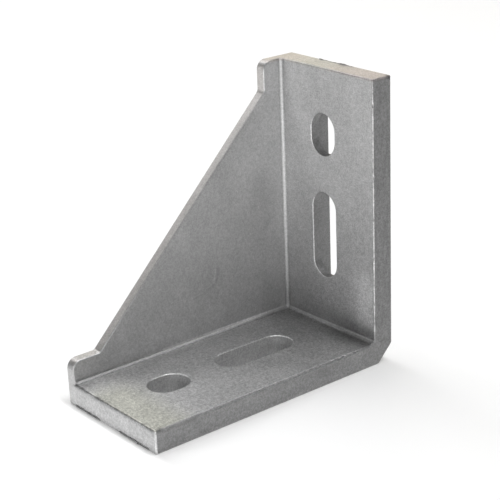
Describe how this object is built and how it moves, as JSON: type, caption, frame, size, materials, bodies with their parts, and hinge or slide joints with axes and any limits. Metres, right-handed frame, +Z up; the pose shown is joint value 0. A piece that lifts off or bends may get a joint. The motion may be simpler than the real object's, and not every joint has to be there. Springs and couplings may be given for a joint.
{
  "type": "angle corner connector",
  "caption": "Cast right-angle bracket with slotted legs and a gusset web on one side, for screwing T-slot profiles or plates together at a corner.",
  "frame": {"origin": "centre of the base leg's seating face, at the bottom centre of the part", "axes": "+Z up, square to the base leg; +Y along the base leg towards the upright leg and out through the upright's seating face; +X across the legs, away from the gusset web"},
  "size_m": [0.038, 0.0783, 0.0783],
  "materials": {
    "cast_aluminium": "matt shot-blasted die casting, fine-grained grey"
  },
  "bodies": {
    "root": {"corner_bracket": "cast_aluminium"}
  },
  "joints": []
}
